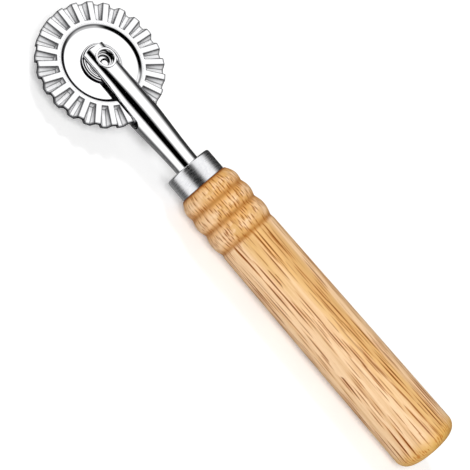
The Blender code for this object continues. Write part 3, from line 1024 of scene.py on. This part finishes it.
def wheel_radii():
    """Radii of the sheet's rings, dense at the dish, at the flutes' inner ends and at the rim."""
    dish_start = DISH_RADIUS - DISH_RUN - DENSE_MARGIN
    dish_end = DISH_RADIUS + DENSE_MARGIN
    flute_start = FLUTE_RADIUS - 2 * DENSE_MARGIN
    flute_end = FLUTE_RADIUS + FLUTE_END_RUN + DENSE_MARGIN
    rim = WHEEL_RADIUS - RIM_ROUND
    radii = spread(WHEEL_BORE, dish_start, 6)
    radii += spread(dish_start, dish_end, 16)
    radii += spread(dish_end, flute_start, 2)
    radii += spread(flute_start, flute_end, 24)
    radii += spread(flute_end, rim, 10)
    return radii + [rim]


def sheet_ring(bm, radius, drop, thick):
    """One ring of the sheet's upper or lower side, all round the wheel."""
    crease = bm.verts.layers.float["crease"]
    recess = bm.verts.layers.float["recess"]
    pitch = 2 * math.pi * max(radius, DISH_RADIUS) / FLUTE_COUNT
    ring = []
    for flute in range(FLUTE_COUNT):
        middle = math.pi - RIDGE_PHASE - 2 * math.pi * flute / FLUTE_COUNT
        for share in spread(0, 1, FLUTE_COLUMNS):
            angle = middle - 2 * math.pi / FLUTE_COUNT * share
            offset = pitch * min(share, 1 - share)
            height = wheel_height(radius, offset, thick)
            made = bm.verts.new((radius * math.cos(angle), radius * math.sin(angle), height + drop))
            made[crease] = painted_crease_share(radius, offset)
            made[recess] = recess_share(radius, offset)
            ring.append(made)
    return ring


def make_wheel(finish):
    """The stamped sheet: recessed disc, flat ring, flutes and a rounded rim."""
    bm = bmesh.new()
    bm.verts.layers.float.new("crease")
    bm.verts.layers.float.new("recess")
    upper = [sheet_ring(bm, radius, 0, 0) for radius in wheel_radii()]
    lower = [sheet_ring(bm, radius, 0, WHEEL_SHEET) for radius in wheel_radii()]
    for step in range(1, RIM_STEPS + 1):
        angle = math.pi / 2 * step / RIM_STEPS
        radius = WHEEL_RADIUS - RIM_ROUND * (1 - math.sin(angle))
        drop = RIM_ROUND * (1 - math.cos(angle))
        upper.append(sheet_ring(bm, radius, -drop, 0))
        lower.append(sheet_ring(bm, radius, drop, WHEEL_SHEET))
    skin(bm, upper + lower[::-1], closed=True)
    mesh = mesh_from(bm, "fluted_wheel", WHEEL_SHARP_DEGREES)
    made = add_piece("fluted_wheel", mesh, finish, at_axle())
    dress(made, "wheel", "wheel_assembly")


# Hub

def make_washer(name, node_name, side, finish):
    """Washer between the wheel's disc and an arm, with a step and rounded edges."""
    disc = RIDGE_HEIGHT - DISH_DEPTH
    inner = (disc if side > 0 else WHEEL_SHEET - disc) + WASHER_GAP
    face = WASHER_RADIUS - WASHER_STEP
    step_height = HUB_HEIGHT - WASHER_DROP
    edge = WASHER_EDGE
    profile = [(WASHER_BORE, inner), (WASHER_BORE, HUB_HEIGHT)]
    profile += arc(face - edge, HUB_HEIGHT - edge, edge, 90, 0, 6)
    profile += [(face, step_height)]
    profile += arc(WASHER_RADIUS - edge, step_height - edge, edge, 90, 0, 6)
    profile += [(WASHER_RADIUS, inner)]
    place = at_axle()
    if side < 0:
        place = place @ Matrix.Rotation(math.pi, 4, "X")
    made = add_turned(name, profile, WASHER_FACES, finish, place, closed=True)
    dress(made, node_name, "wheel_assembly")


def make_bush(finish):
    """The wheel's bush on the rivet."""
    edge = BUSH_EDGE
    profile = arc(BUSH_BORE + edge, HUB_HEIGHT - edge, edge, 180, 90, 3)
    profile += arc(BUSH_RADIUS - edge, HUB_HEIGHT - edge, edge, 90, 0, 3)
    profile += arc(BUSH_RADIUS - edge, edge - HUB_HEIGHT, edge, 0, -90, 3)
    profile += arc(BUSH_BORE + edge, edge - HUB_HEIGHT, edge, -90, -180, 3)
    made = add_turned("axle_bush", profile, BUSH_FACES, finish, at_axle(), closed=True)
    dress(made, "hub_bush", "wheel_assembly")


# Setting

def floor_material(name):
    """Pale and lit to the camera, white far off, and clear to what mirrors it."""
    made, tree, shader = new_material(name)
    tree.nodes.remove(shader)
    rays = node(tree, "ShaderNodeLightPath")
    clouds = mottle(tree, (0.02, 0.02, 0.02), 3)
    tint = mix_colour(tree, ramp(tree, clouds, 0.3, 0.7, 0, 1), FLOOR_LIGHT, FLOOR_DARK)
    seen = mix_colour(tree, rays.outputs["Is Camera Ray"], tint, FLOOR_SEEN)
    diffuse = node(tree, "ShaderNodeBsdfDiffuse")
    link(tree, seen, diffuse.inputs["Color"])
    from_middle = node(tree, "ShaderNodeVectorMath", operation="LENGTH")
    link(tree, texture_space(tree, (MM, MM, MM)), from_middle.inputs[0])
    far = ramp(tree, from_middle.outputs["Value"], FLOOR_LIT, 3 * FLOOR_LIT, FLOOR_GLOW, 1.0)
    glow = node(tree, "ShaderNodeEmission")
    link(tree, product(tree, rays.outputs["Is Camera Ray"], far), glow.inputs["Strength"])
    both = node(tree, "ShaderNodeAddShader")
    link(tree, diffuse.outputs["BSDF"], both.inputs[0])
    link(tree, glow.outputs["Emission"], both.inputs[1])
    clear = node(tree, "ShaderNodeBsdfTransparent")
    past = node(tree, "ShaderNodeMixShader")
    link(tree, rays.outputs["Is Glossy Ray"], past.inputs[0])
    link(tree, both.outputs["Shader"], past.inputs[1])
    link(tree, clear.outputs["BSDF"], past.inputs[2])
    link(tree, past.outputs["Shader"], tree.nodes["Material Output"].inputs["Surface"])
    return made


def make_floor():
    """Pale floor that keeps the tool's shadow."""
    bm = bmesh.new()
    bmesh.ops.create_grid(bm, x_segments=2, y_segments=2, size=FLOOR_HALF_SIZE)
    finish = floor_material("pale_floor")
    floor = add_piece("floor", mesh_from(bm, "floor"), finish, Matrix.Identity(4))


def sky_bands(tree, turn):
    """The studio's bright and dark bands along the tool, by the angle about it."""
    bands = node(tree, "ShaderNodeValToRGB")
    bands.color_ramp.interpolation = "LINEAR"
    elements = bands.color_ramp.elements
    while len(elements) > 1:
        elements.remove(elements[-1])
    for index, (angle, level) in enumerate(SKY_STOPS):
        place = (angle + 180) / 360
        element = elements[0] if index == 0 else elements.new(place)
        element.position = place
        element.color = (level, level, level, 1)
    link(tree, ramp(tree, turn, -math.pi, math.pi, 0, 1, "LINEAR"), bands.inputs["Fac"])
    return bands.outputs["Color"]


def make_world():
    """White studio with a dark band over the tool, where the camera and its stand would be."""
    world = bpy.data.worlds.new("studio")
    bpy.context.scene.world = world
    world.use_nodes = True
    tree = world.node_tree
    coordinates = node(tree, "ShaderNodeTexCoord")
    x, y, z = parts_of(tree, coordinates.outputs["Generated"])
    turn = math_node(tree, "ADD", math_node(tree, "ARCTAN2", y, z), LEAN)
    seen = node(tree, "ShaderNodeVectorMath", operation="SCALE")
    link(tree, sky_bands(tree, turn), seen.inputs["Vector"])
    link(tree, ramp(tree, x, 0.42, 0.85, 1.0, 0.45), seen.inputs["Scale"])
    rays = node(tree, "ShaderNodeLightPath")
    plain = mix_colour(tree, rays.outputs["Is Camera Ray"], STUDIO_LIGHT, STUDIO_WHITE)
    colour = mix_colour(tree, rays.outputs["Is Glossy Ray"], plain, seen.outputs["Vector"])
    link(tree, colour, tree.nodes["Background"].inputs["Color"])
    world.cycles.sampling_method = "NONE"


def make_lamp(name, angle, along, distance, size, power):
    """A soft lamp over the tool that metal doesn't mirror, aimed at the tool's middle."""
    turn = math.radians(angle)
    place = TOOL @ Vector((along, distance * math.sin(turn), distance * math.cos(turn)))
    data = bpy.data.lights.new(name, "AREA")
    data.shape = "DISK"
    data.size = size
    data.energy = power
    lamp = bpy.data.objects.new(name, data)
    bpy.context.scene.collection.objects.link(lamp)
    aim = (Vector((0, 0, AXIS_Z)) - place).to_track_quat("-Z", "Y")
    lamp.matrix_world = Matrix.Translation(place) @ aim.to_matrix().to_4x4()
    lamp.visible_glossy = False


def make_camera():
    """The photograph's camera."""
    forward = CAMERA_FORWARD.normalized()
    right = (CAMERA_RIGHT - forward * CAMERA_RIGHT.dot(forward)).normalized()
    up = right.cross(forward)
    place = Matrix((right, up, -forward)).transposed().to_4x4()
    place.translation = Vector((AXLE_X, 0, 0)) + CAMERA_FROM_AXLE
    data = bpy.data.cameras.new("camera")
    data.sensor_width = SENSOR_MM
    data.lens = FOCAL_PX * SENSOR_MM / PHOTO_SIZE_PX
    data.clip_start = CLIP_START
    camera = bpy.data.objects.new("camera", data)
    bpy.context.scene.collection.objects.link(camera)
    camera.matrix_world = TOOL @ place
    bpy.context.scene.camera = camera


def make_setting():
    bpy.context.scene.view_settings.view_transform = "Standard"
    make_camera()
    make_world()
    make_floor()
    for lamp in LAMPS:
        make_lamp(*lamp)


def make_tool():
    fork = polished_steel("chrome_fork", *FORK_POLISH)
    fork_inside = inside_shade_steel("fork_inside")
    wheel = polished_steel("chrome_wheel", *WHEEL_POLISH, painted_crease_shade, recess_satin)
    rivet = polished_steel("chrome_rivet", *HUB_POLISH, bore_shade)
    hub = polished_steel("chrome_washer", *HUB_POLISH, washer_painted_shade)
    make_handle(oiled_wood("oiled_wood"))
    make_ferrule(satin_steel("satin_steel"))
    make_fork_arm("fork_near", "fork_arm_upper", 1, fork, fork_inside)
    make_fork_arm("fork_far", "fork_arm_lower", -1, fork, fork_inside)
    make_rivet(rivet)
    make_peen(rivet)
    make_wheel(wheel)
    make_bush(hub)
    make_washer("washer_near", "hub_washer_upper", 1, hub)
    make_washer("washer_far", "hub_washer_lower", -1, hub)


make_setting()
make_tool()
